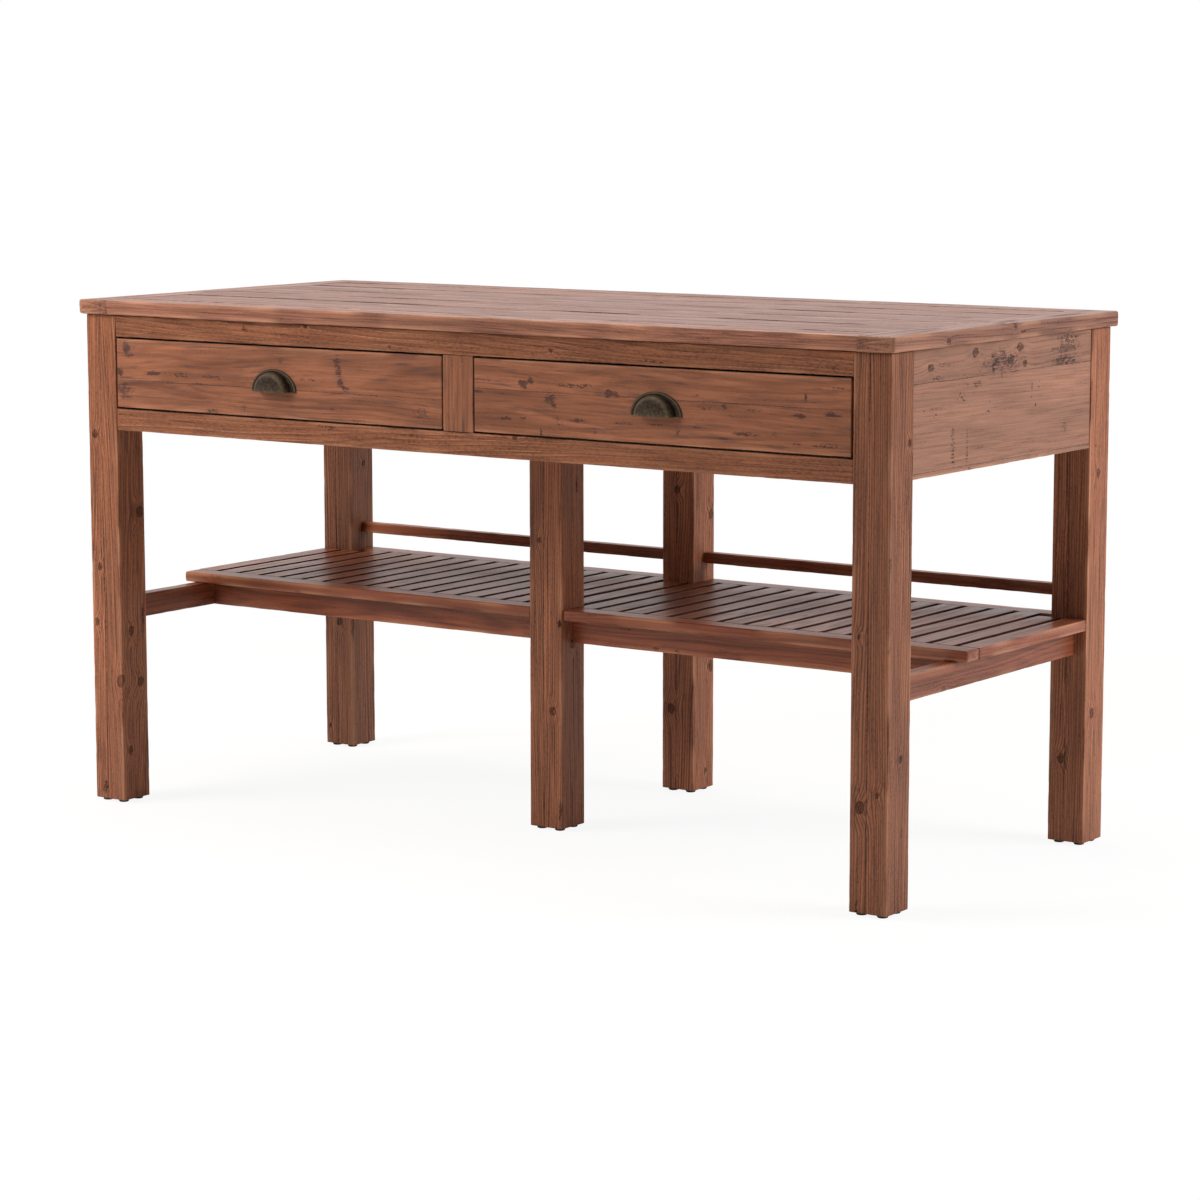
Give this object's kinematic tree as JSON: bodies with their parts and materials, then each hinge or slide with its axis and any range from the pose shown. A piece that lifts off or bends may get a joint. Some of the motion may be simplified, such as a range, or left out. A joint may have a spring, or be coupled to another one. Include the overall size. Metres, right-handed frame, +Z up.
{
  "type": "kitchen island",
  "caption": "Free-standing wooden kitchen island with a framed plank top, flush drawers with cup pulls, square legs and a slatted lower shelf with a guard rail.",
  "frame": {"origin": "on the floor under the middle of the leg frame", "axes": "+X along the length to the right as seen from the front, +Y to the back, +Z up; the drawers open towards -Y"},
  "size_m": [1.69, 0.7643, 0.914],
  "materials": {
    "top_pine": "brown-stained reclaimed pine under satin lacquer, worn pale along the edges",
    "frame_pine": "brown-stained reclaimed pine under satin lacquer",
    "drawer_pine": "warmer stained pine with nail holes and dark stains, satin lacquer",
    "shelf_pine": "dark brown stained pine, satin lacquer",
    "raw_pine": "planed pine left bare inside",
    "plywood": "thin plywood, bare",
    "aged_bronze": "dark antique bronze patina, rubbed lighter on the edges"
  },
  "bodies": {
    "frame": {"back_panel_left": "frame_pine", "back_panel_right": "frame_pine", "centre_bearer_front": "raw_pine", "centre_bearer_rear": "raw_pine", "end_panel_left": "frame_pine", "end_panel_right": "frame_pine", "front_bottom_rail": "frame_pine", "front_stile": "frame_pine", "front_top_rail": "frame_pine", "guard_rail_left": "shelf_pine", "guard_rail_right": "shelf_pine", "kicker_left_inner": "raw_pine", "kicker_left_outer": "raw_pine", "kicker_right_inner": "raw_pine", "kicker_right_outer": "raw_pine", "leg_back_left": "frame_pine", "leg_back_middle": "frame_pine", "leg_back_right": "frame_pine", "leg_front_left": "frame_pine", "leg_front_middle": "frame_pine", "leg_front_right": "frame_pine", "runner_left_inner": "raw_pine", "runner_left_outer": "raw_pine", "runner_right_inner": "raw_pine", "runner_right_outer": "raw_pine", "shelf_apron_back_left": "shelf_pine", "shelf_apron_back_right": "shelf_pine", "shelf_apron_front_left": "shelf_pine", "shelf_apron_front_right": "shelf_pine", "shelf_back_rail_left": "shelf_pine", "shelf_back_rail_right": "shelf_pine", "shelf_slat_centre": "shelf_pine", "shelf_slats_left": "shelf_pine", "shelf_slats_right": "shelf_pine", "shelf_stretcher_left": "shelf_pine", "shelf_stretcher_middle": "shelf_pine", "shelf_stretcher_right": "shelf_pine", "top_back_board": "top_pine", "top_end_left": "top_pine", "top_end_right": "top_pine", "top_front_board": "top_pine", "top_plank_1": "top_pine", "top_plank_2": "top_pine", "top_plank_3": "top_pine", "top_plank_4": "top_pine", "top_plank_5": "top_pine"},
    "drawer_left": {"drawer_left_back": "raw_pine", "drawer_left_bottom": "plywood", "drawer_left_front": "drawer_pine", "drawer_left_pull": "aged_bronze", "drawer_left_side_left": "raw_pine", "drawer_left_side_right": "raw_pine"},
    "drawer_right": {"drawer_right_back": "raw_pine", "drawer_right_bottom": "plywood", "drawer_right_front": "drawer_pine", "drawer_right_pull": "aged_bronze", "drawer_right_side_left": "raw_pine", "drawer_right_side_right": "raw_pine"}
  },
  "joints": [
    {"name": "drawer_left_slide", "type": "slide", "parent": "frame", "child": "drawer_left", "axis": [0, -1, 0], "range_m": [0, 0.42]},
    {"name": "drawer_right_slide", "type": "slide", "parent": "frame", "child": "drawer_right", "axis": [0, -1, 0], "range_m": [0, 0.42]}
  ]
}
